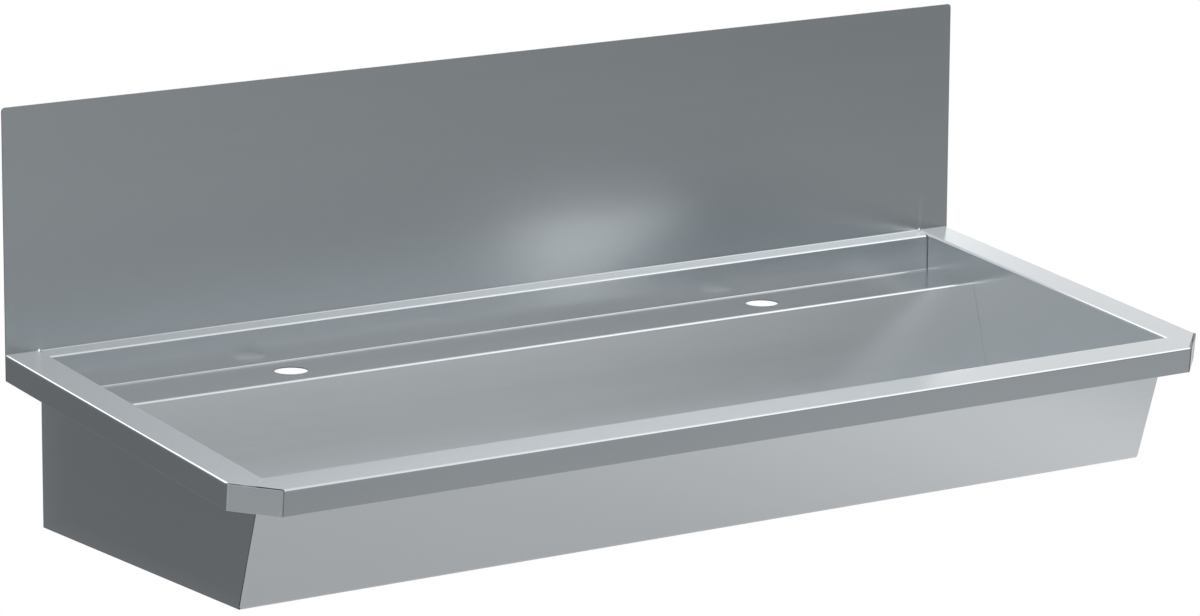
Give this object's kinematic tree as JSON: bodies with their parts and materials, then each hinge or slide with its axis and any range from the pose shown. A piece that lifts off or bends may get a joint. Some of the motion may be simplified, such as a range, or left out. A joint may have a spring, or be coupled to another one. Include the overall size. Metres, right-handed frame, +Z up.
{
  "type": "trough sink",
  "caption": "Wall-hung stainless wash trough with a tall flat splash-back, a sunk tap ledge with round tap holes, one long open basin and chamfered front corners.",
  "frame": {"origin": "centre of the four wall fixing holes, on the wall plane, midway along the trough", "axes": "+X along the trough, to the right seen from the front; +Y into the wall, whose plane is Y = 0; +Z up; the front of the trough faces -Y"},
  "size_m": [1.2, 0.4699, 0.4617],
  "materials": {
    "brushed_sheet": "satin stainless sheet, brushed lengthwise",
    "plain_plate": "dull mill-finished stainless plate",
    "fastener_steel": "plain stainless fasteners",
    "waste_steel": "pressed and polished stainless",
    "damping_pad": "matt black damping sheet",
    "gasket_rubber": "matt black sealing rubber",
    "waste_plastic": "light grey moulded plastic"
  },
  "bodies": {
    "trough": {"splashback": "brushed_sheet", "upstand": "brushed_sheet", "tap_ledge": "brushed_sheet", "basin_back": "brushed_sheet", "basin_floor": "brushed_sheet", "front_panel": "brushed_sheet", "left_end_panel": "brushed_sheet", "right_end_panel": "brushed_sheet", "front_rim": "brushed_sheet", "left_rim": "brushed_sheet", "right_rim": "brushed_sheet", "left_tap_plate": "plain_plate", "right_tap_plate": "plain_plate", "left_stiffener": "plain_plate", "right_stiffener": "plain_plate", "left_sound_pad": "damping_pad", "right_sound_pad": "damping_pad", "left_bracket": "plain_plate", "right_bracket": "plain_plate", "bracket_studs": "fastener_steel", "bracket_washers": "fastener_steel", "bracket_nuts": "fastener_steel", "waste_bowl": "waste_steel", "upper_gasket": "gasket_rubber", "lower_gasket": "gasket_rubber", "waste_body": "waste_plastic", "waste_screw": "fastener_steel", "earth_tag": "plain_plate", "earth_screw": "fastener_steel", "earth_nut": "fastener_steel"},
    "strainer": {"strainer": "waste_steel", "strainer_knob": "waste_steel"}
  },
  "joints": [
    {"name": "strainer_lift", "type": "slide", "parent": "trough", "child": "strainer", "axis": [0, 0, 1], "range_m": [0, 0.08]}
  ]
}
